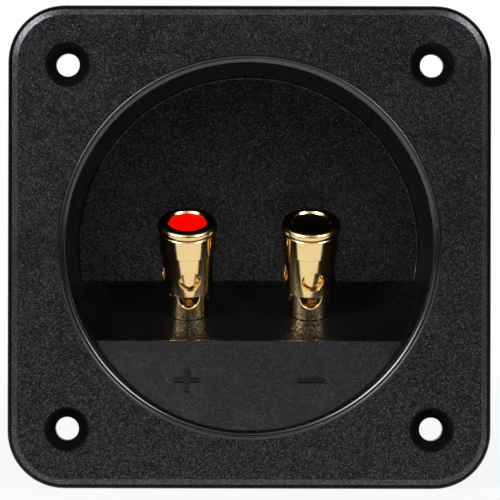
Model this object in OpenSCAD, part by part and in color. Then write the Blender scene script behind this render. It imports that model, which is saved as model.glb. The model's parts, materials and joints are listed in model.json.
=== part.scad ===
// Spring speaker terminal cup: a moulded cup with two push terminals on its sloping shelf.
// Millimetres. The front faces -Y, +Z is up, and y = 0 is the flange's rear face, which meets the panel.

/* [Flange] */
// Side of the square flange
flange_w = 101.6; // [96:0.2:110]
// Thickness of the flange
flange_t = 4; // [3.5:0.1:5]
// Radius of the flange's corners in front view
corner_r = 12; // [8:0.5:13]
// Width of the flange's sloping and rounded edge in front view
edge_w = 2.1; // [1.8:0.1:2.5]
// Slope of the edge where it leaves the flange's front
edge_lean = 22; // [15:1:30]
// Rounding between the sloping edge and the flange's side
edge_r = 1.5; // [1:0.1:1.8]
// Distance between screw holes, the same both ways
screw_spacing = 76.5; // [75:0.1:79]
// Diameter of each screw hole
screw_d = 4.9; // [4.2:0.1:5.6]
// Diameter of each countersink at the front face
countersink_d = 8.7; // [8:0.1:9.4]
// Rounding of a countersink's front edge
sink_edge_r = 0.2; // [0.1:0.05:0.3]

/* [Recess] */
// Radius of the recess just behind its lip
recess_r = 38.6; // [38:0.1:38.8]
// Depth of the recess, from the flange's front to the back wall
recess_depth = 33; // [31:0.5:36]
// Narrowing of the recess radius at the back wall
recess_draft = 0.6; // [0.2:0.1:1]
// Rounding between the recess's wall and its back
back_r = 0.5; // [0.2:0.1:0.5]
// Rounding of the lip
lip_r = 1.05; // [0.6:0.05:1.2]
// Radius at which the fine bead runs round the lip
bead_ring_r = 40; // [39.95:0.05:40.4]
// Radius of the bead's own section
bead_r = 0.25; // [0.2:0.05:0.4]
// Height of the bead above the flange
bead_h = 0.15; // [0.1:0.05:0.2]
// Thickness of the moulded wall
wall_t = 2.5; // [2:0.1:2.8]

/* [Shelf] */
// Angle of the shelf from the horizontal, which is also the lean of the terminals
shelf_tilt = 30; // [26:1:32]
// Depth of the shelf's front edge below the flange's front
ridge_depth = 11.4; // [10:0.2:13]
// Drop of the shelf's front edge below the middle of the cup
ridge_drop = 20.05; // [19:0.05:21]
// Rounding of the shelf's front edge
ridge_r = 0.5; // [0.2:0.1:1]
// Depth of the lower face where it meets the bottom of the recess
foot_depth = 1.8; // [1.6:0.1:2.5]

/* [Signs] */
// Width of the plus and minus signs
sign_w = 5.6; // [4:0.1:7]
// Width of a sign's stroke
sign_stroke = 1.1; // [0.8:0.1:1.5]
// Height of the signs above the lower face
sign_h = 0.35; // [0.2:0.05:0.6]
// Drop of the signs below the middle of the cup
sign_drop = 28.3; // [26:0.1:31]

/* [Panel side] */
// Radius of the spigot that fits the panel's cut-out
spigot_r = 41; // [40.9:0.1:41.3]
// Length of the spigot behind the flange
spigot_h = 8; // [6:0.5:10]
// Rounding of the cup's rear edge
rear_r = 1.5; // [0.5:0.1:2]

/* [Terminals] */
// Distance between the two terminals
terminal_spacing = 26.4; // [25:0.1:30]
// Turn of each post about its own axis, in degrees
post_turn = 3; // [-6:0.5:6]
// Turn of each cap on its post, within the play of the guide pin, in degrees
cap_play = 2.5; // [-2.5:0.5:2.5]
// Travel of a cap when it is pressed
travel = 4.9; // [4:0.1:5]

/* [Post] */
// Radius of the post
post_r = 4.5; // [4.4:0.05:4.6]
// Height of the post above the shelf
post_h = 14.5; // [14.3:0.1:14.7]
// Radius of the wire holes through the post
wire_r = 2.25; // [2:0.05:2.3]
// Height of the wire holes above the shelf
wire_h = 5.5; // [5.3:0.1:5.6]
// Chamfer at the mouth of a wire hole
wire_chamfer = 0.25; // [0.1:0.05:0.3]
// Chamfer at the post's top
post_chamfer = 0.4; // [0.2:0.1:0.6]
// Radius of the spring's bore
spring_bore_r = 2.7; // [2.65:0.05:2.8]
// Height of the bore's floor above the shelf
spring_floor = 8.8; // [8.6:0.1:9]

/* [Cap] */
// Height of the cap's lower edge above the shelf
cap_foot = 6.5; // [6.4:0.1:6.6]
// Radius of the cap's lower section
skirt_r = 5.6; // [5.5:0.05:5.8]
// Height of the step between the two sections
step_h = 15.95; // [15:0.05:16.5]
// Radius of the cap's upper section
head_r = 6.2; // [6.1:0.05:6.25]
// Height of the cap's flat top above the shelf
cap_top = 22.4; // [22.2:0.1:23]
// Largest radius of the rim
rim_r = 6.55; // [6.4:0.05:6.6]
// Height of the rim's widest line below the cap's top
rim_drop = 1.05; // [1:0.05:1.2]
// Radius of the shallow groove under the rim
rim_groove_r = 6; // [5.9:0.05:6]
// Radius of the cap's bore, which slides on the post
cap_bore_r = 4.56; // [4.56:0.01:4.6]
// Height of the bore's ceiling above the shelf
cap_ceiling = 19.9; // [19.8:0.1:20]
// Radius of the holes through the cap
cap_hole_r = 2.32; // [2.2:0.01:2.35]
// Radius of the well for the coloured disc
well_r = 4; // [3.9:0.05:4.3]
// Height of the well's floor above the shelf
well_floor = 20.9; // [20.8:0.1:21.1]
// Chamfer at the mouth of the well
well_chamfer = 0.35; // [0.1:0.05:0.4]
// Thickness of the coloured disc
disc_t = 0.9; // [0.7:0.1:1.1]

/* [Guide pin] */
// Radius of the guide pin
pin_r = 0.55; // [0.5:0.05:0.6]
// Height of the guide pin above the shelf
pin_h = 13.1; // [13:0.05:13.1]
// Distance of the pin's inner end from the terminal's axis
pin_inner_r = 3.75; // [3.7:0.05:3.9]
// Bearing of the pin round the cap, counted from the front hole
pin_bearing = 135; // [130:1:140]
// Width of the slot that the pin runs in
slot_w = 1.7; // [1.65:0.05:1.8]
// Depth of the slot
slot_depth = 0.8; // [0.75:0.05:0.9]

/* [Spring] */
// Thickness of the spring's wire
spring_wire = 0.45; // [0.4:0.05:0.55]
// Radius of the spring at the middle of its wire
spring_r = 2.2; // [2:0.05:2.3]
// Turns of the spring
spring_turns = 8; // [6:0.5:9]
// Sides of the wire's section
spring_sides = 8; // [6:1:10]
// Rings of points in one turn
spring_rings = 20; // [12:1:24]

/* [Rear hardware] */
// Radius of the threaded stud
stud_r = 2; // [1.9:0.1:2.2]
// Radius of the thread's core, at the stud's free end
stud_core_r = 1.7; // [1.5:0.05:1.8]
// Length of the stud below the shelf's upper face
stud_len = 14; // [13:0.5:16]
// Chamfer at the stud's free end
stud_chamfer = 0.3; // [0.1:0.1:0.5]
// Radius of the stud's hole in the shelf
stud_hole_r = 2.2; // [2.15:0.05:2.4]
// Thickness of the flat washer
washer_t = 0.8; // [0.5:0.1:1]
// Outer radius of the flat washer
washer_r = 4.5; // [4:0.1:5]
// Distance across a nut's flats
nut_flats = 7; // [6.5:0.1:8]
// Height of a nut
nut_h = 3.2; // [2.4:0.1:3.4]
// Thickness of the solder lug
lug_t = 0.6; // [0.4:0.1:0.8]
// Outer radius of the solder lug's ring
lug_ring_r = 3.8; // [3.5:0.1:4.2]
// Distance of the lug's eye from the stud
lug_reach = 8.2; // [7.5:0.1:8.6]
// Radius of the lug's eye
lug_eye_r = 1; // [0.7:0.1:1.2]
// Half the width of the lug's tail
lug_tail_r = 1.9; // [1.7:0.1:2.2]
// Thickness of the lock washer
lock_t = 0.9; // [0.7:0.1:1.1]
// Outer radius of the lock washer
lock_r = 3.6; // [3.3:0.1:3.8]
// Width of the lock washer's slit
lock_slit = 0.7; // [0.4:0.1:1]

/* [Hidden] */
$fn = 96;

// Spare length that makes a cut run clear of the faces it goes through
over = 1;
// Half the length of cuts that cross the whole cup
far = 120;
// Gap between pieces that are put together by hand
ease = 0.05;
// Gap left round a pin that is pressed in
press_gap = 0.01;
// How far the body stands inside the spigot's radius, so that the spigot has a shoulder
spigot_step = 0.5;

// Faces of the cup along y
front_y = -flange_t;
back_y = recess_depth - flange_t;
rear_y = back_y + wall_t;

// Radii of the recess and of the cup's outside
back_wall_r = recess_r - recess_draft;
mouth_r = recess_r + lip_r;
outer_front_r = spigot_r - spigot_step;
outer_rear_r = outer_front_r - recess_draft;

// Middle of the rounding of the flange's edge, outwards and back from the middle of a corner
edge_run = (edge_w - edge_r * (1 - sin(edge_lean))) / cos(edge_lean);
edge_mid = [corner_r - edge_r, edge_run * sin(edge_lean) + edge_r * cos(edge_lean)];

// Radius at which a countersink's rounding meets the flange's front
sink_edge_x = countersink_d / 2 + sink_edge_r * (sqrt(2) - 1);

// Section of the shelf and the lower face, as points in y and z
ridge = [front_y + ridge_depth, -ridge_drop];
shelf_back = [back_y, -ridge_drop + (recess_depth - ridge_depth) * tan(shelf_tilt)];
lower_foot = [front_y + foot_depth, -recess_r];
lower_slope = atan2(ridge_depth - foot_depth, recess_r - ridge_drop);

// Directions in that section: along the shelf to the back, along the lower face to its foot
shelf_dir = [cos(shelf_tilt), sin(shelf_tilt)];
lower_dir = [-sin(lower_slope), -cos(lower_slope)];
// Normals of the two faces, out of the moulding
shelf_normal = [-sin(shelf_tilt), cos(shelf_tilt)];
lower_normal = [-cos(lower_slope), sin(lower_slope)];

// Middle of the ridge's rounding, and the two points where it runs into the faces
ridge_angle = acos(shelf_dir * lower_dir);
ridge_setback = ridge_r / tan(ridge_angle / 2);
ridge_on_shelf = ridge + ridge_setback * shelf_dir;
ridge_on_lower = ridge + ridge_setback * lower_dir;
ridge_axis = ridge_on_shelf - ridge_r * shelf_normal;

// Inner corner of the moulding behind the ridge
ridge_inside = ridge + wall_t / sin(ridge_angle) * (shelf_dir + lower_dir);

// Place of a terminal's seat, halfway along the shelf
seat_y = (ridge[0] + shelf_back[0]) / 2;
seat_z = (ridge[1] + shelf_back[1]) / 2;

// Place of the signs on the lower face
sign_y = ridge[0] - (sign_drop - ridge_drop) * tan(lower_slope);

// Heights of the rear hardware along the stud, below the shelf's upper face
washer_s = -wall_t - washer_t;
clamp_nut_s = washer_s - nut_h;
lug_s = clamp_nut_s - lug_t;
lock_s = lug_s - lock_t;
lug_nut_s = lock_s - nut_h;

// Turn of the cap and of what it carries
cap_turn = post_turn + cap_play;

// Slot of the guide pin: the pin's travel with a little room at both ends
slot_room = 0.1;
slot_low = pin_h - travel - pin_r - slot_room;
slot_high = pin_h + pin_r + slot_room;

// Height and length of the spring at rest
spring_low = spring_floor + ease;
spring_len = cap_ceiling - ease - spring_low;

// Shapes shared by several parts

// Puts a piece of a terminal on the shelf. side is -1 for the red one and 1 for the black one.
module on_terminal(side, turn = 0) {
    translate([side * terminal_spacing / 2, seat_y, seat_z])
        rotate([shelf_tilt, 0, 0])
            rotate([0, 0, turn])
                children();
}

// Lays a section drawn in y and z across the cup, along x
module across(width) {
    rotate([90, 0, 90])
        linear_extrude(height = width, center = true)
            children();
}

// Turns a section drawn as radius and y about the cup's axis
module about_cup() {
    rotate([-90, 0, 0])
        rotate_extrude($fn = 180)
            children();
}

// Two crossed holes along local x and y, as long as the given reach each way
module crossed_holes(radius, reach) {
    for (turn = [0, 90])
        rotate([90, 0, turn])
            cylinder(r = radius, h = 2 * reach, center = true);
}

// A ring with the given radii and thickness, standing on its lower face
module ring(outer, inner, thickness) {
    difference() {
        cylinder(r = outer, h = thickness);
        translate([0, 0, -over])
            cylinder(r = inner, h = thickness + 2 * over);
    }
}

// The cup

// Section of the flange's edge, from the inside out, which slopes and then rounds off
module flange_edge() {
    intersection() {
        translate(edge_mid)
            circle(r = edge_r);
        square([corner_r, flange_t]);
    }
    polygon([
        [0, 0],
        [corner_r - edge_w, 0],
        edge_mid + edge_r * [sin(edge_lean), -cos(edge_lean)],
        edge_mid,
        [corner_r, edge_mid[1]],
        [corner_r, flange_t],
        [0, flange_t]
    ]);
}

// The square flange, its front at y = -flange_t and its rear at y = 0
module flange() {
    straight = flange_w - 2 * corner_r;
    middle = straight / 2;
    for (turn = [0, 90, 180, 270])
        rotate([0, turn, 0]) {
            translate([0, front_y, middle])
                across(straight)
                    mirror([1, -1])
                        flange_edge();
            translate([middle, front_y, middle])
                rotate([-90, 0, 0])
                    rotate([0, 0, -90])
                        rotate_extrude(angle = 90)
                            flange_edge();
        }
    translate([-middle, front_y, -middle])
        cube([straight, flange_t, straight]);
}

// Section of a countersunk hole, as radius and y, with its front edge rounded
module screw_hole_section() {
    difference() {
        polygon([
            [0, front_y - over],
            [sink_edge_x, front_y - over],
            [sink_edge_x, front_y],
            [sink_edge_x - sink_edge_r / sqrt(2), front_y + sink_edge_r * (1 - 1 / sqrt(2))],
            [screw_d / 2, front_y + (countersink_d - screw_d) / 2],
            [screw_d / 2, over],
            [0, over]
        ]);
        translate([sink_edge_x, front_y + sink_edge_r])
            circle(r = sink_edge_r);
    }
}

// A countersunk hole for one panel screw
module screw_hole() {
    rotate([-90, 0, 0])
        rotate_extrude()
            screw_hole_section();
}

// Section of the hollow in front of the shelf, before the shelf fills its lower half
module recess_section() {
    polygon([
        [0, front_y - over],
        [recess_r, front_y - over],
        [recess_r, front_y + lip_r],
        [back_wall_r, back_y - back_r],
        [back_wall_r - back_r, back_y],
        [0, back_y]
    ]);
    translate([back_wall_r - back_r, back_y - back_r])
        circle(r = back_r);
    difference() {
        translate([recess_r - over / 2, front_y - over / 2])
            square([lip_r + over / 2, lip_r + over / 2]);
        translate([mouth_r, front_y + lip_r])
            circle(r = lip_r);
    }
}

// Section of the solid that stands in the lower half of the recess
module step_section() {
    polygon([
        ridge_on_shelf,
        ridge_axis,
        ridge_on_lower,
        lower_foot + far * lower_dir,
        [far, -far],
        shelf_back + far * shelf_dir
    ]);
    translate(ridge_axis)
        circle(r = ridge_r);
}

// The hollow that shows from the front
module recess() {
    difference() {
        about_cup()
            recess_section();
        across(2 * far)
            step_section();
    }
}

// Section of the cup's outside behind the flange
module outside_section() {
    polygon([
        [0, front_y + edge_r],
        [outer_front_r, front_y + edge_r],
        [outer_front_r, 0],
        [outer_rear_r, rear_y - rear_r],
        [outer_rear_r - rear_r, rear_y - rear_r],
        [outer_rear_r - rear_r, rear_y],
        [0, rear_y]
    ]);
    translate([outer_rear_r - rear_r, rear_y - rear_r])
        circle(r = rear_r);
}

// Section of the open space behind the shelf and the lower face
module rear_space_section() {
    polygon([
        ridge_inside,
        ridge_inside + far * lower_dir,
        [far, -far],
        ridge_inside + far * shelf_dir
    ]);
}

// The thin-walled body behind the flange, still without the recess
module body() {
    difference() {
        about_cup()
            outside_section();
        across(2 * far)
            rear_space_section();
    }
    rotate([-90, 0, 0])
        translate([0, 0, -edge_r])
            ring(spigot_r, recess_r, spigot_h + edge_r);
}

// A stroke of a sign, flat on the lower face
module stroke(width, height) {
    cube([width, 2 * sign_h, height], center = true);
}

// Puts a sign on the lower face under the terminal on the given side
module on_lower_face(side) {
    translate([side * terminal_spacing / 2, sign_y, -sign_drop])
        rotate([-lower_slope, 0, 0])
            children();
}

// The moulded cup
module cup() {
    color([0.05, 0.05, 0.055]) {
        difference() {
            union() {
                flange();
                body();
                about_cup()
                    translate([bead_ring_r, front_y + bead_r - bead_h])
                        circle(r = bead_r, $fn = 24);
            }
            recess();
            for (x = [-1, 1], z = [-1, 1])
                translate([x * screw_spacing / 2, 0, z * screw_spacing / 2])
                    screw_hole();
            for (side = [-1, 1])
                on_terminal(side)
                    translate([0, 0, -wall_t - over])
                        cylinder(r = stud_hole_r, h = wall_t + 2 * over);
        }
        on_lower_face(-1) {
            stroke(sign_w, sign_stroke);
            stroke(sign_stroke, sign_w);
        }
        on_lower_face(1)
            stroke(sign_w, sign_stroke);
    }
}

// The terminals

// Gold plating
module gold() {
    color([0.83, 0.66, 0.33])
        children();
}

// Nickel plating
module nickel() {
    color([0.7, 0.69, 0.66])
        children();
}

// Slot that the guide pin runs in, on the side of the post
module pin_slot() {
    rotate([0, 0, pin_bearing])
        translate([-slot_w / 2, -post_r - over, slot_low])
            cube([slot_w, slot_depth + over, slot_high - slot_low]);
}

// Turned post with its stud, standing on the shelf at the given side
module post(side) {
    gold() on_terminal(side, post_turn) {
        difference() {
            rotate_extrude()
                polygon([
                    [0, -stud_len],
                    [stud_core_r - stud_chamfer, -stud_len],
                    [stud_core_r, -stud_len + stud_chamfer],
                    [stud_core_r, lug_nut_s - stud_chamfer],
                    [stud_r, lug_nut_s],
                    [stud_r, 0],
                    [post_r, 0],
                    [post_r, post_h - post_chamfer],
                    [post_r - post_chamfer, post_h],
                    [0, post_h]
                ]);
            translate([0, 0, spring_floor])
                cylinder(r = spring_bore_r, h = post_h);
            translate([0, 0, wire_h]) {
                crossed_holes(wire_r, 2 * post_r);
                for (turn = [0 : 90 : 270])
                    rotate([90, 0, turn])
                        translate([0, 0, post_r - wire_chamfer])
                            cylinder(r1 = wire_r, r2 = wire_r + post_r, h = post_r);
            }
            pin_slot();
        }
    }
}

// Section of the cap's outside, from its lower edge to its flat top
module cap_section() {
    rim_low = cap_top - 2 * rim_drop;
    groove_depth = head_r - rim_groove_r;
    polygon([
        [0, cap_foot],
        [skirt_r, cap_foot],
        [skirt_r, step_h],
        [head_r, step_h],
        [head_r, rim_low],
        [rim_groove_r, rim_low + groove_depth],
        [rim_r - rim_drop, cap_top - rim_drop],
        [rim_r - rim_drop, cap_top],
        [0, cap_top]
    ]);
    translate([rim_r - rim_drop, cap_top - rim_drop])
        circle(r = rim_drop);
}

// Turned cap that slides on the post
module cap(side) {
    gold() on_terminal(side, cap_turn)
        difference() {
            rotate_extrude()
                cap_section();
            translate([0, 0, cap_foot - over])
                cylinder(r = cap_bore_r, h = cap_ceiling - cap_foot + over);
            translate([0, 0, well_floor])
                cylinder(r = well_r, h = over + cap_top - well_floor);
            translate([0, 0, cap_top - well_chamfer])
                cylinder(r1 = well_r, r2 = well_r + over, h = over);
            translate([0, 0, wire_h + travel])
                crossed_holes(cap_hole_r, 2 * head_r);
            translate([0, 0, pin_h])
                rotate([90, 0, pin_bearing])
                    cylinder(r = pin_r, h = 2 * head_r);
        }
}

// Coloured disc in the cap's well
module disc(side, shade) {
    color(shade) on_terminal(side, cap_turn)
        translate([0, 0, well_floor])
            cylinder(r = well_r - ease, h = disc_t);
}

// Pin that guides and stops the cap
module guide_pin(side) {
    nickel() on_terminal(side, cap_turn)
        translate([0, 0, pin_h])
            rotate([90, 0, pin_bearing])
                translate([0, 0, pin_inner_r])
                    cylinder(r = pin_r - press_gap, h = skirt_r - ease - pin_inner_r);
}

// Climb of the spring's wire after a share of its turns, with flat end turns
function spring_climb(share) =
    let (flat = 1 / spring_turns, open = 1 - 2 * flat, rise = spring_wire + press_gap)
    share < flat ? rise * share / flat :
    share > 1 - flat ? spring_len - spring_wire - rise * (1 - share) / flat :
    rise + (spring_len - spring_wire - 2 * rise) * (share - flat) / open;

// One ring of points round the spring's wire
function spring_ring(step, steps) =
    let (turn = 360 * spring_turns * step / steps, z = spring_climb(step / steps))
    [for (k = [0 : spring_sides - 1])
        let (a = 360 * k / spring_sides, r = spring_r + spring_wire / 2 * cos(a))
        [r * cos(turn), r * sin(turn), spring_low + spring_wire / 2 + z + spring_wire / 2 * sin(a)]];

// Compression spring between the post and the cap
module spring(side) {
    steps = floor(spring_turns * spring_rings);
    points = [for (step = [0 : steps]) each spring_ring(step, steps)];
    sides = [for (step = [0 : steps - 1], k = [0 : spring_sides - 1])
        let (next = (k + 1) % spring_sides, low = step * spring_sides, high = low + spring_sides)
        [low + k, high + k, high + next, low + next]];
    start = [for (k = [0 : spring_sides - 1]) k];
    end = [for (k = [spring_sides - 1 : -1 : 0]) steps * spring_sides + k];
    nickel() on_terminal(side)
        polyhedron(points, concat([start], sides, [end]));
}

// Flat washer under the shelf
module flat_washer(side) {
    nickel() on_terminal(side)
        translate([0, 0, washer_s])
            ring(washer_r, stud_r + 2 * ease, washer_t);
}

// Hexagon nut with its lower face at the given height
module nut(side, height) {
    corner = nut_flats / 2 / cos(30);
    nickel() on_terminal(side)
        translate([0, 0, height])
            difference() {
                intersection() {
                    cylinder(r = corner, h = nut_h, $fn = 6);
                    rotate_extrude()
                        polygon([
                            [0, 0],
                            [nut_flats / 2, 0],
                            [corner, (corner - nut_flats / 2) / 2],
                            [corner, nut_h - (corner - nut_flats / 2) / 2],
                            [nut_flats / 2, nut_h],
                            [0, nut_h]
                        ]);
                }
                translate([0, 0, -over])
                    cylinder(r = stud_r + ease / 2, h = nut_h + 2 * over);
            }
}

// Solder tag whose tail points to the rear
module solder_lug(side) {
    nickel() on_terminal(side)
        translate([0, 0, lug_s])
            linear_extrude(height = lug_t)
                difference() {
                    union() {
                        circle(r = lug_ring_r);
                        translate([-lug_tail_r, 0])
                            square([2 * lug_tail_r, lug_reach]);
                        translate([0, lug_reach])
                            circle(r = lug_tail_r);
                    }
                    circle(r = stud_r + 2 * ease);
                    translate([0, lug_reach])
                        circle(r = lug_eye_r);
                }
}

// Split washer that locks the lug's nut
module lock_washer(side) {
    nickel() on_terminal(side)
        translate([0, 0, lock_s])
            difference() {
                ring(lock_r, stud_r + 2 * ease, lock_t);
                translate([lock_r / 2, 0, lock_t / 2])
                    rotate([35, 0, 0])
                        cube([lock_r + over, lock_slit, 4 * lock_t], center = true);
            }
}

cup();
post(-1);  // red_post
cap(-1);  // red_cap
disc(-1, [0.85, 0.02, 0.02]);  // red_disc
spring(-1);  // red_spring
guide_pin(-1);  // red_guide_pin
flat_washer(-1);  // red_flat_washer
nut(-1, clamp_nut_s);  // red_clamp_nut
solder_lug(-1);  // red_solder_lug
lock_washer(-1);  // red_lock_washer
nut(-1, lug_nut_s);  // red_lug_nut
post(1);  // black_post
cap(1);  // black_cap
disc(1, [0.02, 0.02, 0.02]);  // black_disc
spring(1);  // black_spring
guide_pin(1);  // black_guide_pin
flat_washer(1);  // black_flat_washer
nut(1, clamp_nut_s);  // black_clamp_nut
solder_lug(1);  // black_solder_lug
lock_washer(1);  // black_lock_washer
nut(1, lug_nut_s);  // black_lug_nut
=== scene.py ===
import json
import math
from types import SimpleNamespace

import bmesh
import bpy
from mathutils import Matrix, Vector


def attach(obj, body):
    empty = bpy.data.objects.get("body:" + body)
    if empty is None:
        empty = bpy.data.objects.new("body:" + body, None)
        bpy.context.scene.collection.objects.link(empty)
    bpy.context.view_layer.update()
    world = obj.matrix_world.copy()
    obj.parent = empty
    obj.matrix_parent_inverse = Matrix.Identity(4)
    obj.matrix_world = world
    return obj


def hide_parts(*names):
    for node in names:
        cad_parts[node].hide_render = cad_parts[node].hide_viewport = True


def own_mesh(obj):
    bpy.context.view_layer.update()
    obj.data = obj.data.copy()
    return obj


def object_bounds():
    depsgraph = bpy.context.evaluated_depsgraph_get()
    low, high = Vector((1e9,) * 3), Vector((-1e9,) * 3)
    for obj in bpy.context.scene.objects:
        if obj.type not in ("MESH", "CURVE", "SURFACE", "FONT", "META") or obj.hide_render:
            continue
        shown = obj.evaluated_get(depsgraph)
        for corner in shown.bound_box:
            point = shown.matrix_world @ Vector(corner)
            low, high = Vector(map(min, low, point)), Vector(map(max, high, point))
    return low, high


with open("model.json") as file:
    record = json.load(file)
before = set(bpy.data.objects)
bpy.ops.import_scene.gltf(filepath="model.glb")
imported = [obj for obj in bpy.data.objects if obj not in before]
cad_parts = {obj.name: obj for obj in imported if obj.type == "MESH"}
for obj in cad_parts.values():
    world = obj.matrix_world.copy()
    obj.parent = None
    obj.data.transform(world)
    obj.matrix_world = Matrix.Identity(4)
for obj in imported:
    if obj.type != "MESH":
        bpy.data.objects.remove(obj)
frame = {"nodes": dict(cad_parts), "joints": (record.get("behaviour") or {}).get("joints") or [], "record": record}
cad_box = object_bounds()

# Units and names
MM = 0.001
TAU = 2 * math.pi
SIDES = ("red", "black")
nodes = frame["nodes"]
mounts = {m["name"]: m for m in frame["record"]["mounts"]}
joints = {j["name"]: j for j in frame["joints"]}

# The cup, in millimetres
FLANGE_FRONT = -4.0
LIP_IN, LIP_OUT, LIP_DEPTH = 38.2, 40.3, 1.3
RIDGE_Y, RIDGE_Z, LOWER_FACE_LEAN = 7.33, -20.18, math.radians(27.3)
SCREW_HALF = mounts["screw_pattern"]["dims"]["spacing_x_mm"] / 2
COUNTERSINK_R = 4.6

# The terminals, in millimetres, heights counted along the post from the shelf
WIRE_R = mounts["red_wire_bore"]["dims"]["r_mm"]
WIRE_H = 5.5
TRAVEL = joints["red_press"]["range_m"][1] / MM
POST_R, POST_H, POST_CHAMFER = 4.5, 14.5, 0.4
POST_HOLES_LOW, POST_HOLES_HIGH, POST_HOLE_RIM = 1.2, 9.9, 0.28
SPRING_BORE_R, SPRING_FLOOR = 2.7, 8.8
STUD_R, STUD_CORE_R, STUD_LEN, STUD_CHAMFER = 2.0, 1.7, 14.0, 0.3
THREAD_TOP, THREAD_PITCH = -11.2, 0.7
CAP_FOOT, CAP_TOP, CAP_STEP = 6.5, 22.4, 15.95
SKIRT_R, HEAD_R, CAP_BORE_R, CAP_CEILING = 5.6, 6.2, 4.56, 19.9
CAP_HOLE_R, CAP_HOLE_RIM = 2.32, 0.06
CAP_HOLES_LOW, CAP_HOLES_HIGH = CAP_FOOT + 0.35, 14.2
CAP_PLAY = math.radians(2.5)
RIM_R, RIM_ROUND, RIM_GROOVE_R = 6.55, 1.05, 6.0
WELL_R, WELL_FLOOR, WELL_CHAMFER = 4.0, 20.9, 0.35
PIN_R, PIN_H, PIN_BEARING, PIN_DRILL_LEN = 0.55, 13.1, math.radians(135), 4.0
SLOT_W, SLOT_DEPTH, SLOT_LOW, SLOT_HIGH = 1.7, 0.8, 7.55, 13.75
SPRING_WIRE, SPRING_R, SPRING_TURNS = 0.45, 2.2, 8
SPRING_LOW, SPRING_LEN = 8.85, 11.0
SPRING_END_PITCH = 1.02 * SPRING_WIRE

# How many times its own depth the thread's flank would climb over one pitch
THREAD_FLANK = 2.7

# Roundings of edges and corners, in millimetres
CRISP, EASED, FILLET = 0.05, 0.1, 0.2
POST_FOOT_ROUND, CAP_FOOT_ROUND, NECK_ROUND = 0.18, 0.12, 0.08
DISC_EDGE, HARDWARE_EDGE = 0.12, 0.07

# Fineness of the turned pieces, and two tolerances in millimetres
SEGMENTS = 160
QUARTER = SEGMENTS // 4
HOLE_SIDE, HOLE_RINGS, RING_GROWTH = 32, 14, 1.3
EDGE_STEPS, RIM_STEPS, THREAD_STEPS = 5, 24, 44
DRILL_SIDES = 32
SPRING_TURN_STEPS, SPRING_WIRE_SIDES = 36, 12
MERGE_WITHIN, TUBE_EASE = 1e-4, 0.004

# Studio: lengths in metres, directions of lamps, a lens in millimetres and its shift in picture widths
FLOOR_HALF, FLOOR_GAP = 4.0, 0.05 * MM
LAMP_RIGHT = (0.52, -0.68, 0.52)
LAMP_LEFT = (-0.504, -0.694, 0.515)
LAMP_MIDDLE = (0, -0.86, 0.51)
CAMERA_LENS, CAMERA_SHIFT_X, CAMERA_SHIFT_Y = 171.74, 0.0392, -0.0058
CAMERA_X, CAMERA_DISTANCE, CAMERA_ROLL = -4 * MM, 500 * MM, math.radians(-0.13)


# Shapes

def polar(radius, angle, height):
    return Vector((radius * math.cos(angle), radius * math.sin(angle), height))


def lerp(a, b, t):
    return a + (b - a) * t


def add_grid(bm, rows):
    """Faces over rows of points. The end of each row joins its start."""
    made = [[bm.verts.new(p) for p in row] for row in rows]
    for low, high in zip(made, made[1:]):
        count = len(low)
        for i in range(count):
            j = (i + 1) % count
            bm.faces.new((low[i], low[j], high[j], high[i]))


def rounded(corners):
    """Points along an outline, where each corner is (radius, height, rounding)."""
    points = []
    for i, (r, z, rounding) in enumerate(corners):
        here = Vector((r, z))
        if rounding == 0 or i in (0, len(corners) - 1):
            points.append(here)
            continue
        before = (Vector(corners[i - 1][:2]) - here).normalized()
        after = (Vector(corners[i + 1][:2]) - here).normalized()
        half = before.angle(after) / 2
        middle = here + (before + after).normalized() * rounding / math.sin(half)
        start = here + before * rounding / math.tan(half) - middle
        sweep = (math.pi - 2 * half) * math.copysign(1, before.cross(after))
        for k in range(EDGE_STEPS + 1):
            turn = Matrix.Rotation(-sweep * k / EDGE_STEPS, 2)
            points.append(middle + turn @ start)
    return points


def revolve(bm, outline):
    """A turned surface from an outline of radius and height."""
    add_grid(bm, [[polar(r, k * TAU / SEGMENTS, z) for k in range(SEGMENTS)] for r, z in outline])


def patch_border(low, high):
    """Points (angle, height, hole angle) round a quarter of a tube, from its lower left corner."""
    half = TAU / 8
    corners = [(-half, low), (half, low), (half, high), (-half, high)]
    points = []
    for side, start in enumerate(corners):
        end = corners[(side + 1) % 4]
        count = HOLE_SIDE if side % 2 else QUARTER
        for k in range(count):
            t = k / count
            hole_angle = lerp(2 * side - 3, 2 * side - 1, t) * half
            points.append((lerp(start[0], end[0], t), lerp(start[1], end[1], t), hole_angle))
    return points


def tube_round_hole(bm, radius, hole_r, hole_h, low, high, facing):
    """The quarter of a tube's surface that has a round hole in its middle."""
    rows = []
    for ring in range(HOLE_RINGS + 1):
        t = (ring / HOLE_RINGS) ** RING_GROWTH
        row = []
        for angle, height, phi in patch_border(low, high):
            edge = math.asin(hole_r * math.cos(phi) / radius)
            z = lerp(hole_h + hole_r * math.sin(phi), height, t)
            row.append(polar(radius, facing + lerp(edge, angle, t), z))
        rows.append(row)
    add_grid(bm, rows)


def hole_wall(bm, radius, hole_r, hole_h, rim, low, high, facing, floor):
    """The rounded rim and the wall of a cross hole. floor gives the wall's inner end at a hole angle."""
    out = polar(1, facing, 0)
    along = polar(1, facing + TAU / 4, 0)
    stages = []
    for k in range(EDGE_STEPS + 1):
        bend = k / EDGE_STEPS * TAU / 4
        stages.append((hole_r + rim * (1 - math.sin(bend)), rim * (1 - math.cos(bend)), 0))
    for k in range(1, EDGE_STEPS + 1):
        stages.append((hole_r, rim, k / EDGE_STEPS))
    rows = []
    for reach, drop, share in stages:
        row = []
        for _, _, phi in patch_border(low, high):
            x = reach * math.cos(phi)
            depth = lerp(math.sqrt(radius ** 2 - x ** 2) - drop, floor(phi), share)
            row.append(out * depth + along * x + Vector((0, 0, hole_h + reach * math.sin(phi))))
        rows.append(row)
    add_grid(bm, rows)


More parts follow.
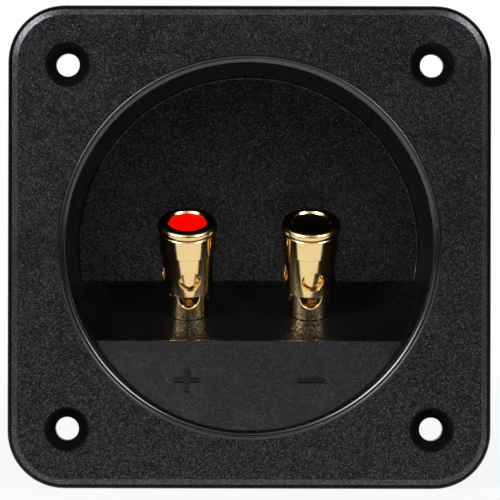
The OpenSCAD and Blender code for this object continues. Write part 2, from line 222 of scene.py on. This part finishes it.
def cross_holes(bm, radius, hole_r, hole_h, rim, low, high, floor):
    """A stretch of tube between two heights with four round holes in it."""
    for k in range(4):
        facing = k * TAU / 4
        tube_round_hole(bm, radius, hole_r + rim, hole_h, low, high, facing)
        hole_wall(bm, radius, hole_r, hole_h, rim, low, high, facing, floor)


def finish_mesh(name, bm, matrix, sharp_deg=40):
    """Turns millimetres in a terminal's own frame into an object."""
    bmesh.ops.remove_doubles(bm, verts=bm.verts, dist=MERGE_WITHIN)
    bmesh.ops.recalc_face_normals(bm, faces=bm.faces)
    bmesh.ops.scale(bm, vec=(MM, MM, MM), verts=bm.verts)
    mesh = bpy.data.meshes.new(name)
    bm.to_mesh(mesh)
    bm.free()
    mesh.shade_smooth()
    mesh.set_sharp_from_angle(angle=math.radians(sharp_deg))
    obj = bpy.data.objects.new(name, mesh)
    obj.matrix_world = matrix
    bpy.context.scene.collection.objects.link(obj)
    return obj


def even_normals(obj):
    """Lets the large faces of a piece set the shading where they meet small ones."""
    made = obj.modifiers.new("normals", "WEIGHTED_NORMAL")
    made.mode, made.weight, made.keep_sharp = "FACE_AREA", 100, True


def on_tube(points, radius):
    """Whether all these points, in metres across the axis, lie on a tube of a radius in millimetres."""
    return all(abs(point.length - radius * MM) < TUBE_EASE * MM for point in points)


def round_normals(mesh, tubes):
    """Shades the faces that lie on tubes of these radii as true cylinders."""
    normals = [Vector(n.vector) for n in mesh.corner_normals]
    for face in mesh.polygons:
        flat = [mesh.vertices[v].co.xy for v in face.vertices]
        if not any(on_tube(flat, radius) for radius in tubes):
            continue
        for corner, point in zip(face.loop_indices, flat):
            inward = point.dot(face.normal.xy) < 0
            normals[corner] = (-point if inward else point).normalized().to_3d()
    mesh.normals_split_custom_set(normals)


def carve(obj, bm, tubes):
    """Cuts the closed shape bm, in the object's own frame, out of obj, which has tubes of these radii."""
    cutter = finish_mesh("cutter", bm, obj.matrix_world.copy())
    cut = obj.modifiers.new("carve", "BOOLEAN")
    cut.operation, cut.solver, cut.object = "DIFFERENCE", "EXACT", cutter
    even_normals(obj)
    bpy.context.view_layer.update()
    mesh = bpy.data.meshes.new_from_object(obj.evaluated_get(bpy.context.evaluated_depsgraph_get()))
    obj.modifiers.clear()
    obj.data = mesh
    bpy.data.objects.remove(cutter)
    round_normals(mesh, tubes)


def terminal(side):
    """Frame of a terminal: origin on the shelf, z up the post, -y down the shelf to the front."""
    up = -Vector(joints[f"{side}_press"]["axis"]).normalized()
    across = Vector((1, 0, 0))
    basis = Matrix((across, up.cross(across), up)).transposed().to_4x4()
    seat = Vector(mounts[f"{side}_wire_bore"]["pos_m"]) - up * WIRE_H * MM
    return Matrix.Translation(seat) @ basis


def turned(side, more=0.0):
    """Frame of a terminal, turned so that -y leaves through its front wire hole, and a little more."""
    out = terminal(side).to_3x3().inverted() @ Vector(mounts[f"{side}_wire_bore"]["axis"])
    return terminal(side) @ Matrix.Rotation(math.atan2(out.x, -out.y) + more, 4, "Z")


def at_pin(radius, height):
    """A place at the guide pin's bearing, with -y pointing away from the post's axis."""
    return Matrix.Rotation(PIN_BEARING, 4, "Z") @ Matrix.Translation((0, -radius, height))


# The turned pieces

def thread_radius(height, angle):
    """Radius of the stud's thread, which fades in over the first turn at the free end."""
    lead = min(1, (height + STUD_LEN - STUD_CHAMFER) / THREAD_PITCH)
    phase = (height / THREAD_PITCH - angle / TAU) % 1
    ridge = min(1, THREAD_FLANK * min(phase, 1 - phase))
    return lerp(STUD_CORE_R, STUD_R, lead * ridge)


def add_thread(bm):
    """The threaded end of the stud, from its chamfer up to the plain part."""
    angles = [k * TAU / SEGMENTS for k in range(SEGMENTS)]
    rows = []
    for k in range(THREAD_STEPS + 1):
        z = lerp(-STUD_LEN + STUD_CHAMFER, THREAD_TOP, k / THREAD_STEPS)
        rows.append([polar(thread_radius(z, a), a, z) for a in angles])
    rows.append([polar(STUD_R, a, THREAD_TOP) for a in angles])
    add_grid(bm, rows)


def make_post(side):
    bm = bmesh.new()
    revolve(bm, [
        (0, -STUD_LEN),
        (STUD_CORE_R - STUD_CHAMFER, -STUD_LEN),
        (STUD_CORE_R, -STUD_LEN + STUD_CHAMFER)])
    add_thread(bm)
    revolve(bm, rounded([
        (STUD_R, THREAD_TOP, 0),
        (STUD_R, 0, 0),
        (POST_R, 0, POST_FOOT_ROUND),
        (POST_R, POST_HOLES_LOW, 0)]))
    cross_holes(bm, POST_R, WIRE_R, WIRE_H, POST_HOLE_RIM, POST_HOLES_LOW, POST_HOLES_HIGH,
                lambda phi: WIRE_R * abs(math.cos(phi)))
    revolve(bm, rounded([
        (POST_R, POST_HOLES_HIGH, 0),
        (POST_R, POST_H - POST_CHAMFER, EASED),
        (POST_R - POST_CHAMFER, POST_H, EASED),
        (SPRING_BORE_R, POST_H, EASED),
        (SPRING_BORE_R, SPRING_FLOOR, FILLET),
        (0, SPRING_FLOOR, 0)]))
    post = finish_mesh(f"{side}_post_turned", bm, turned(side))
    slot = bmesh.new()
    size = Matrix.Diagonal((SLOT_W, 2 * SLOT_DEPTH, SLOT_HIGH - SLOT_LOW, 1))
    bmesh.ops.create_cube(slot, size=1, matrix=at_pin(POST_R, (SLOT_LOW + SLOT_HIGH) / 2) @ size)
    carve(post, slot, (POST_R,))
    return post


def cap_outside():
    """Outline of the cap from above its holes, over its rim and down into the well for the disc."""
    rim_foot = CAP_TOP - 2 * RIM_ROUND
    rim_middle = CAP_TOP - RIM_ROUND
    outline = rounded([
        (SKIRT_R, CAP_HOLES_HIGH, 0),
        (SKIRT_R, CAP_STEP, CRISP),
        (HEAD_R, CAP_STEP, EASED),
        (HEAD_R, rim_foot, NECK_ROUND),
        (RIM_GROOVE_R, rim_foot + HEAD_R - RIM_GROOVE_R, 0)])
    start = math.asin((outline[-1].y - rim_middle) / RIM_ROUND)
    for k in range(1, RIM_STEPS + 1):
        bend = lerp(start, TAU / 4, k / RIM_STEPS)
        radius = RIM_R - RIM_ROUND + RIM_ROUND * math.cos(bend)
        outline.append((radius, rim_middle + RIM_ROUND * math.sin(bend)))
    outline += rounded([
        (RIM_R - RIM_ROUND, CAP_TOP, 0),
        (WELL_R + WELL_CHAMFER, CAP_TOP, CRISP),
        (WELL_R, CAP_TOP - WELL_CHAMFER, CRISP),
        (WELL_R, WELL_FLOOR, CRISP),
        (0, WELL_FLOOR, 0)])
    return outline


def make_cap(side):
    bm = bmesh.new()
    hole_h = WIRE_H + TRAVEL
    revolve(bm, rounded([
        (CAP_BORE_R, CAP_HOLES_LOW, 0),
        (CAP_BORE_R, CAP_FOOT, CAP_FOOT_ROUND),
        (SKIRT_R, CAP_FOOT, CAP_FOOT_ROUND),
        (SKIRT_R, CAP_HOLES_LOW, 0)]))
    cross_holes(bm, SKIRT_R, CAP_HOLE_R, hole_h, CAP_HOLE_RIM, CAP_HOLES_LOW, CAP_HOLES_HIGH,
                lambda phi: math.sqrt(CAP_BORE_R ** 2 - (CAP_HOLE_R * math.cos(phi)) ** 2))
    for k in range(4):
        tube_round_hole(bm, CAP_BORE_R, CAP_HOLE_R, hole_h, CAP_HOLES_LOW, CAP_HOLES_HIGH, k * TAU / 4)
    revolve(bm, cap_outside())
    revolve(bm, rounded([
        (CAP_BORE_R, CAP_HOLES_HIGH, 0),
        (CAP_BORE_R, CAP_CEILING, FILLET),
        (0, CAP_CEILING, 0)]))
    cap = finish_mesh(f"{side}_cap_turned", bm, turned(side, CAP_PLAY))
    drill = bmesh.new()
    # Half a side of turn keeps the drill's corners off the seam between two quarters of the cap.
    lie = Matrix.Rotation(TAU / 4, 4, "X") @ Matrix.Rotation(TAU / DRILL_SIDES / 2, 4, "Z")
    bmesh.ops.create_cone(drill, cap_ends=True, segments=DRILL_SIDES, radius1=PIN_R, radius2=PIN_R,
                          depth=PIN_DRILL_LEN, matrix=at_pin(SKIRT_R, PIN_H) @ lie)
    carve(cap, drill, (SKIRT_R, HEAD_R, CAP_BORE_R))
    return cap


def spring_climb(share):
    """Height of the wire above the spring's foot. The first and the last turn lie closed."""
    end_share = 1 / SPRING_TURNS
    run = SPRING_LEN - SPRING_WIRE
    if share < end_share:
        return SPRING_END_PITCH * share / end_share
    if share > 1 - end_share:
        return run - SPRING_END_PITCH * (1 - share) / end_share
    between = (share - end_share) / (1 - 2 * end_share)
    return lerp(SPRING_END_PITCH, run - SPRING_END_PITCH, between)


def make_spring(side):
    """A closed-ended coil of round wire."""
    bm = bmesh.new()
    steps = SPRING_TURNS * SPRING_TURN_STEPS
    wire_r = SPRING_WIRE / 2
    rows = []
    for k in range(steps + 1):
        turn = TAU * SPRING_TURNS * k / steps
        foot = SPRING_LOW + spring_climb(k / steps)
        row = []
        for w in range(SPRING_WIRE_SIDES):
            a = TAU * w / SPRING_WIRE_SIDES
            row.append(polar(SPRING_R + wire_r * math.cos(a), turn, foot + wire_r * (1 + math.sin(a))))
        rows.append(row)
    add_grid(bm, rows)
    bmesh.ops.holes_fill(bm, edges=[e for e in bm.edges if e.is_boundary])
    return finish_mesh(f"{side}_spring_coil", bm, terminal(side), sharp_deg=60)


# Materials

# Most values of a noise lie in this range
NOISE_RANGE = (0.3, 0.7)


class Shader:
    """A node material that starts as a principled surface with the given socket values."""

    def __init__(self, name, **sockets):
        self.material = bpy.data.materials.new(name)
        self.material.use_nodes = True
        self.tree = self.material.node_tree
        self.surface = self.tree.nodes["Principled BSDF"]
        for key, value in sockets.items():
            self.surface.inputs[key.replace("_", " ")].default_value = value
        coords = self.tree.nodes.new("ShaderNodeTexCoord")
        self.place = coords.outputs["Object"]
        self.normal = coords.outputs["Normal"]

    def node(self, kind, *links, **settings):
        """A new node. links feed its inputs in order, and None leaves one alone."""
        made = self.tree.nodes.new("ShaderNode" + kind)
        for key, value in settings.items():
            if key in made.inputs:
                made.inputs[key].default_value = value
            else:
                setattr(made, key, value)
        for socket, source in zip(made.inputs, links):
            if isinstance(source, bpy.types.NodeSocket):
                self.tree.links.new(source, socket)
            elif source is not None:
                socket.default_value = source
        return made

    def math(self, operation, *values):
        return self.node("Math", *values, operation=operation).outputs[0]

    def times(self, first, second):
        return self.math("MULTIPLY", first, second)

    def largest(self, first, second):
        return self.math("MAXIMUM", first, second)

    def without(self, value):
        """One minus a value."""
        return self.math("SUBTRACT", 1.0, value)

    def mix(self, factor, first, second):
        return self.node("Mix", factor, None, first, second).outputs[0]

    def distance(self, first, second):
        """Length of the line that spans two offsets at right angles."""
        return self.math("SQRT", self.math("ADD", self.times(first, first), self.times(second, second)))

    def from_pair(self, coordinate, offset):
        """How far a coordinate lies outside the pair of places at plus and minus an offset in metres."""
        return self.math("SUBTRACT", self.math("ABSOLUTE", coordinate), offset)

    def facing(self, direction):
        """Cosine of the angle between the surface's normal and a direction."""
        return self.node("VectorMath", self.normal, direction, operation="DOT_PRODUCT").outputs["Value"]

    def beyond(self, direction, point):
        """Distance of the surface past a plane through a point, measured in a direction."""
        along = self.node("VectorMath", self.place, direction, operation="DOT_PRODUCT").outputs["Value"]
        return self.math("SUBTRACT", along, direction.dot(point))

    def noise(self, scale_per_mm, detail=2.0, roughness=0.5, vector=None):
        """Noise whose grains are about 1 / scale_per_mm millimetres across."""
        made = self.node("TexNoise", vector or self.place)
        made.inputs["Scale"].default_value = scale_per_mm / MM
        made.inputs["Detail"].default_value = detail
        made.inputs["Roughness"].default_value = roughness
        return made.outputs[0]

    def stretched(self, scale):
        """The surface's place with each axis scaled, for marks that run one way."""
        made = self.node("Mapping", self.place)
        made.inputs["Scale"].default_value = scale
        return made.outputs[0]

    def spread(self, value, low, high, start=0.0, end=1.0):
        """Maps a value from start..end to low..high, clamped."""
        return self.node("MapRange", value, start, end, low, high).outputs[0]

    def rising(self, value, start_mm, end_mm):
        """A mask that goes from 0 to 1 between two distances."""
        return self.spread(value, 0, 1, start_mm * MM, end_mm * MM)

    def falling(self, value, start_mm, end_mm):
        """A mask that goes from 1 to 0 between two distances."""
        return self.spread(value, 1, 0, start_mm * MM, end_mm * MM)

    def colour_between(self, factor, first, second):
        ramp = self.node("ValToRGB", factor)
        for element, colour in zip(ramp.color_ramp.elements, (first, second)):
            element.color = (*colour, 1)
        return ramp.outputs[0]

    def feed(self, socket, source):
        self.tree.links.new(source, self.surface.inputs[socket])

    def bump(self, height, strength, distance_mm):
        made = self.node("Bump", strength, distance_mm * MM)
        self.tree.links.new(height, made.inputs["Height"])
        self.feed("Normal", made.outputs[0])


def cup_places(s):
    """Masks that say where on the cup a point lies, and how squarely it faces the front or the back."""
    # Ranges over which the masks change, in millimetres and then as cosines of a face's tilt
    fade, lip_fade = 0.15, 0.2
    rear_start, rear_end = -0.3, -0.1
    sign_start, sign_end = 0.04, 0.08
    margin_out, margin_in = 2.0, 1.5
    # Painted shadow: a thin ring of shelf round each post's foot loses its gloss and shows as a dark contact line
    foot_shadow_start, foot_shadow_end = POST_R + 0.12, POST_R + 0.32
    off_wall, off_front, along_shelf = (0.89, 0.92), (0.95, 0.985), (0.96, 0.985)
    x, y, z = s.node("SeparateXYZ", s.place).outputs
    from_axis = s.distance(x, z)
    outside = s.rising(from_axis, LIP_OUT, LIP_OUT + fade)
    inside = s.falling(from_axis, LIP_IN - fade, LIP_IN)
    lip_end = FLANGE_FRONT + LIP_DEPTH
    off_lip = s.largest(s.largest(outside, inside), s.rising(y, lip_end, lip_end + lip_fade))
    from_screw = s.distance(s.from_pair(x, SCREW_HALF * MM), s.from_pair(z, SCREW_HALF * MM))
    off_screw = s.largest(s.rising(from_screw, COUNTERSINK_R, COUNTERSINK_R + fade),
                          s.rising(y, rear_start, rear_end))
    seat = terminal("red")
    shelf_up = seat.to_3x3() @ Vector((0, 0, 1))
    down_shelf = seat.to_3x3() @ Vector((0, -1, 0))
    from_post = s.distance(s.from_pair(x, abs(seat.translation.x)), s.beyond(down_shelf, seat.translation))
    lower_out = Vector((0, -math.cos(LOWER_FACE_LEAN), math.sin(LOWER_FACE_LEAN)))
    sign_height = s.beyond(lower_out, Vector((0, RIDGE_Y, RIDGE_Z)) * MM)
    on_lower_face = s.times(s.falling(z, RIDGE_Z - margin_out, RIDGE_Z - margin_in),
                            s.falling(from_axis, LIP_IN - margin_out, LIP_IN - margin_in))
    forward = s.math("ABSOLUTE", s.node("SeparateXYZ", s.normal).outputs["Y"])
    # The flange's sloping edge counts as worn: smoother and glossier, and its extra gloss is also a painted
    # highlight along the edge
    sloping = s.times(s.spread(forward, 0, 1, *off_wall), s.spread(forward, 1, 0, *off_front))
    return SimpleNamespace(
        off_lip=off_lip,
        off_screw=off_screw,
        outside=outside,
        in_recess=s.falling(from_axis, LIP_IN, LIP_OUT),
        on_shelf=s.spread(s.facing(shelf_up), 0, 1, *along_shelf),
        out_of_foot_shadow=s.rising(from_post, foot_shadow_start, foot_shadow_end),
        on_sign=s.times(on_lower_face, s.rising(sign_height, sign_start, sign_end)),
        on_worn_highlit_edge=s.times(outside, sloping),
        forward=forward)


def cup_gloss(s, at, textured, sparkle, grain):
    """Strength of the cup's reflections: pits that glint on the textured faces, an even shine elsewhere."""
    # Cosines of a face's tilt over which the reflections change
    squarely, on_slope, on_sign_side = (0.93, 0.98), (0.905, 0.926), (0.6, 0.8)
    # Levels of reflection, where a pair holds the two ends of a range
    recess_shade_level, sign_level, lip_level, countersink_shade_level = 0.78, 0.65, 0.95, 0.03
    plate_and_edge_shade_level, shelf_level, sign_side_level = (0.15, 1), (0.2, 5.2), (0.8, 0)
    contrast_level, ground_level = (0.55, 1.15), (0.28, 0.13)
    # How unevenly the pits glint, and how much more on worn edges, where the extra gloss is also a painted
    # highlight
    glint_power, glint_grain, shelf_pits, worn_highlight_gain = 3.0, (0.8, 1.4), (0.5, 1), 2.0
    # The recess reflects less than the plate in front of it: painted shade inside the recess
    recess = s.times(at.in_recess, recess_shade_level)
    # Flange faces that lean away from the front keep little reflection: painted shade along the plate's outer edge
    plate = s.times(at.outside, s.spread(at.forward, *plate_and_edge_shade_level, *on_slope))
    glint = s.times(s.math("POWER", sparkle, glint_power), s.spread(grain, *glint_grain, *NOISE_RANGE))
    contrast = s.spread(at.forward, *contrast_level, *squarely)
    ground = s.spread(at.forward, *ground_level, *squarely)
    glint = s.math("MULTIPLY_ADD", glint, contrast, ground)
    glint = s.times(glint, s.largest(plate, recess))
    # Worn edges glint more, partly wear and partly a painted highlight along the flange's edge
    glint = s.times(glint, s.spread(at.on_worn_highlit_edge, 1, worn_highlight_gain))
    # The shelf keeps no gloss in a thin ring round each post's foot, a painted contact shadow
    shelf_gloss = s.times(s.spread(sparkle, *shelf_level, *shelf_pits), at.out_of_foot_shadow)
    sign_side = s.spread(at.forward, *sign_side_level, *on_sign_side)
    sign_gloss = s.largest(s.times(glint, sign_level), sign_side)
    lip_gloss = s.times(s.without(at.off_lip), lip_level)
    # The countersinks are left almost without reflection, a painted shade in them
    countersink_shade_gloss = s.times(s.without(at.off_screw), countersink_shade_level)
    faces = s.mix(at.on_sign, s.mix(at.on_shelf, glint, shelf_gloss), sign_gloss)
    return s.math("ADD", s.times(textured, faces), s.math("ADD", lip_gloss, countersink_shade_gloss))


def moulded_plastic():
    """Black plastic with a spark texture, faint on the shelf, smooth on the lip and in the countersinks."""
    s = Shader("cup_plastic", IOR=1.5, Specular_Tint=(0.92, 0.92, 1.0, 1))
    grain_per_mm, pits_per_mm, patches_per_mm = 3.6, 4.8, 0.12
    dark, light, patch_tint = (0.001, 0.001, 0.0011), (0.006, 0.006, 0.0063), (0.7, 1.3)
    roughness, smooth_roughness, shelf_share = (0.24, 0.30), 0.15, 0.75
    # Depth of the texture in millimetres, and the share of it that is left in four places
    relief_mm, smooth_relief, shelf_relief, sign_relief, worn_relief = 0.028, 0.02, 0.5, 0.2, 0.5
    at = cup_places(s)
    textured = s.times(at.off_lip, at.off_screw)
    grain = s.noise(grain_per_mm, detail=2, roughness=0.6)
    patches = s.noise(patches_per_mm, detail=2)
    pits = s.node("TexVoronoi", s.place, Scale=pits_per_mm / MM)
    sparkle = s.node("SeparateColor", pits.outputs["Color"]).outputs[0]
    tint = s.times(grain, s.spread(patches, *patch_tint, *NOISE_RANGE))
    s.feed("Base Color", s.colour_between(tint, dark, light))
    rough = s.times(s.spread(patches, *roughness, *NOISE_RANGE), s.spread(at.on_shelf, 1, shelf_share))
    smooth = s.times(s.without(textured), smooth_roughness)
    s.feed("Roughness", s.math("ADD", s.times(textured, rough), smooth))
    s.feed("Specular IOR Level", cup_gloss(s, at, textured, sparkle, grain))
    calm = s.times(s.spread(at.on_shelf, 1, shelf_relief), s.spread(at.on_sign, 1, sign_relief))
    worn = s.times(s.spread(textured, smooth_relief, 1), s.spread(at.on_worn_highlit_edge, 1, worn_relief))
    rise = s.times(calm, worn)
    s.bump(s.math("ADD", grain, pits.outputs["Distance"]), rise, relief_mm)
    return s.material


def gold_plate():
    """Polished gold with fine turning marks round the axis of each piece."""
    s = Shader("gold_plate", Metallic=1.0)
    marks = s.noise(9, detail=2, vector=s.stretched((0.02, 0.02, 1)))
    haze = s.noise(0.6, detail=3)
    s.feed("Roughness", s.spread(s.math("ADD", marks, haze), 0.07, 0.16, 0.7, 1.3))
    s.feed("Base Color", s.colour_between(haze, (0.88, 0.63, 0.28), (0.93, 0.69, 0.34)))
    s.bump(marks, strength=0.04, distance_mm=0.01)
    return s.material


def disc_plastic(name, dark, light):
    """Moulded plastic with a faint orange-peel."""
    s = Shader(name, IOR=1.49, Specular_IOR_Level=0.02)
    peel = s.noise(1.2, detail=2)
    s.feed("Base Color", s.colour_between(peel, dark, light))
    s.feed("Roughness", s.spread(peel, 0.3, 0.45, *NOISE_RANGE))
    s.bump(peel, strength=0.08, distance_mm=0.02)
    return s.material


def plated_metal(name, dark, light, rough_low, rough_high):
    """Plated or tinned metal with stamping haze and fine scratches."""
    s = Shader(name, Metallic=1.0)
    haze = s.noise(0.8, detail=4, roughness=0.6)
    scratches = s.noise(14, detail=2, vector=s.stretched((1, 0.08, 0.08)))
    s.feed("Base Color", s.colour_between(haze, dark, light))
    s.feed("Roughness", s.spread(s.math("ADD", haze, scratches), rough_low, rough_high, 0.6, 1.4))
    s.bump(scratches, strength=0.12, distance_mm=0.01)
    return s.material


gold = gold_plate()
nickel = plated_metal("nickel_plate", (0.50, 0.48, 0.44), (0.68, 0.65, 0.60), 0.18, 0.36)
tin = plated_metal("tinned_brass", (0.58, 0.57, 0.54), (0.76, 0.75, 0.72), 0.25, 0.45)
steel = plated_metal("spring_steel", (0.42, 0.41, 0.40), (0.60, 0.59, 0.57), 0.2, 0.35)
disc_finish = {
    "red": disc_plastic("red_disc_plastic", (0.86, 0.0, 0.0), (0.94, 0.0, 0.0)),
    "black": disc_plastic("black_disc_plastic", (0.0004, 0.0004, 0.0004), (0.001, 0.001, 0.001)),
}
hardware_finish = {
    "flat_washer": nickel,
    "clamp_nut": nickel,
    "solder_lug": tin,
    "lock_washer": nickel,
    "lug_nut": nickel,
}


def paint(obj, material):
    obj.data.materials.clear()
    obj.data.materials.append(material)


def soften(obj, width_mm):
    """Breaks the sharp edges of a solid that stays as it is."""
    same_point, same_plane, sharp = 0.001 * MM, math.radians(0.5), math.radians(35)
    obj.modifiers.new("weld", "WELD").merge_threshold = same_point
    flat = obj.modifiers.new("flat", "DECIMATE")
    flat.decimate_type, flat.angle_limit = "DISSOLVE", same_plane
    edge = obj.modifiers.new("edge", "BEVEL")
    edge.width, edge.segments = width_mm * MM, 2
    edge.limit_method, edge.angle_limit = "ANGLE", sharp
    even_normals(obj)


# The object
paint(nodes["cup"], moulded_plastic())
for side in SIDES:
    button = f"{side}_button"
    post, cap, spring = make_post(side), make_cap(side), make_spring(side)
    for piece, body, node, finish, slot in (
        (post, "cup_body", "post", gold, "gold_plate"),
        (cap, button, "cap", gold, "gold_plate"),
        (spring, "cup_body", "spring", steel, "spring_steel"),
    ):
        paint(piece, finish)
        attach(piece, body)
        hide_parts(f"{side}_{node}")
    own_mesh(spring)
    paint(nodes[f"{side}_disc"], disc_finish[side])
    soften(nodes[f"{side}_disc"], DISC_EDGE)
    paint(nodes[f"{side}_guide_pin"], steel)
    for name, finish in hardware_finish.items():
        paint(nodes[f"{side}_{name}"], finish)
        soften(nodes[f"{side}_{name}"], HARDWARE_EDGE)


# Floor, light and camera

def floor_finish():
    """Pale matt floor, nearly white to the camera and in reflections. Far out it throws back less light."""
    s = Shader("floor", Roughness=0.8, Specular_IOR_Level=0.2)
    # Distances from the object, in metres, over which the floor changes
    darkening, whitening, mirroring = (0.15, 0.45), (0.1, 0.5), (0.2, 0.6)
    rays = s.node("LightPath").outputs
    distance = s.node("VectorMath", s.place, operation="LENGTH").outputs["Value"]
    clouds = s.spread(s.noise(0.02, detail=3), -0.03, 0.03)
    far = s.math("ADD", s.spread(distance, 0, 1, *darkening), clouds)
    s.feed("Base Color", s.colour_between(far, (0.71, 0.71, 0.71), (0.12, 0.12, 0.12)))
    mirrored = s.times(rays["Is Glossy Ray"], s.spread(distance, 1, 0.15, *mirroring))
    seen = s.largest(s.largest(rays["Is Camera Ray"], rays["Is Transmission Ray"]), mirrored)
    white = s.node("Emission", (1, 1, 1, 1), 1.0).outputs[0]
    faded = s.node("MixShader", s.times(seen, s.spread(distance, 0.88, 1.0, *whitening)))
    s.tree.links.new(s.surface.outputs[0], faded.inputs[1])
    s.tree.links.new(white, faded.inputs[2])
    s.tree.links.new(faded.outputs[0], s.tree.nodes["Material Output"].inputs["Surface"])
    return s.material


def pale_floor():
    bm = bmesh.new()
    bmesh.ops.create_grid(bm, x_segments=1, y_segments=1, size=FLOOR_HALF)
    mesh = bpy.data.meshes.new("floor")
    bm.to_mesh(mesh)
    bm.free()
    floor = bpy.data.objects.new("floor", mesh)
    floor.location.z = cad_box[0].z - FLOOR_GAP
    bpy.context.scene.collection.objects.link(floor)
    paint(floor, floor_finish())


def softbox(name, direction, distance, size, radiance):
    """A square lamp that faces the object."""
    lamp = bpy.data.lights.new(name, "AREA")
    lamp.shape, lamp.size = "SQUARE", size
    lamp.energy = radiance * math.pi * size ** 2
    box = bpy.data.objects.new(name, lamp)
    towards = Vector(direction).normalized()
    box.location = towards * distance
    box.rotation_euler = (-towards).to_track_quat("-Z", "Y").to_euler()
    bpy.context.scene.collection.objects.link(box)


def studio_world():
    """A dim studio in front and above, and a lit white backdrop behind the object."""
    world = bpy.data.worlds.new("studio")
    bpy.context.scene.world = world
    world.use_nodes = True
    tree = world.node_tree
    background = tree.nodes["Background"]
    coords = tree.nodes.new("ShaderNodeTexCoord")
    split = tree.nodes.new("ShaderNodeSeparateXYZ")
    ramp = tree.nodes.new("ShaderNodeValToRGB")
    dim, lit = ramp.color_ramp.elements
    dim.position, dim.color = 0.55, (0.03, 0.03, 0.031, 1)
    lit.position, lit.color = 0.8, (1, 1, 1, 1)
    tree.links.new(coords.outputs["Generated"], split.inputs[0])
    tree.links.new(split.outputs["Y"], ramp.inputs[0])
    tree.links.new(ramp.outputs[0], background.inputs["Color"])


def place_camera():
    data = bpy.data.cameras.new("camera")
    data.lens, data.shift_x, data.shift_y = CAMERA_LENS, CAMERA_SHIFT_X, CAMERA_SHIFT_Y
    camera = bpy.data.objects.new("camera", data)
    camera.location = (CAMERA_X, FLANGE_FRONT * MM - CAMERA_DISTANCE, 0)
    camera.rotation_euler = (TAU / 4, CAMERA_ROLL, 0)
    bpy.context.scene.collection.objects.link(camera)
    bpy.context.scene.camera = camera


pale_floor()
softbox("softbox_right", LAMP_RIGHT, distance=0.9, size=0.75, radiance=0.65)
softbox("bulb_right", LAMP_RIGHT, distance=0.89, size=0.33, radiance=9.4)
softbox("softbox_left", LAMP_LEFT, distance=0.9, size=0.90, radiance=0.8)
softbox("bulb_left", LAMP_LEFT, distance=0.89, size=0.40, radiance=10.8)
softbox("panel_middle", LAMP_MIDDLE, distance=0.95, size=0.42, radiance=0.36)
studio_world()
place_camera()
bpy.context.scene.view_settings.view_transform = "Standard"
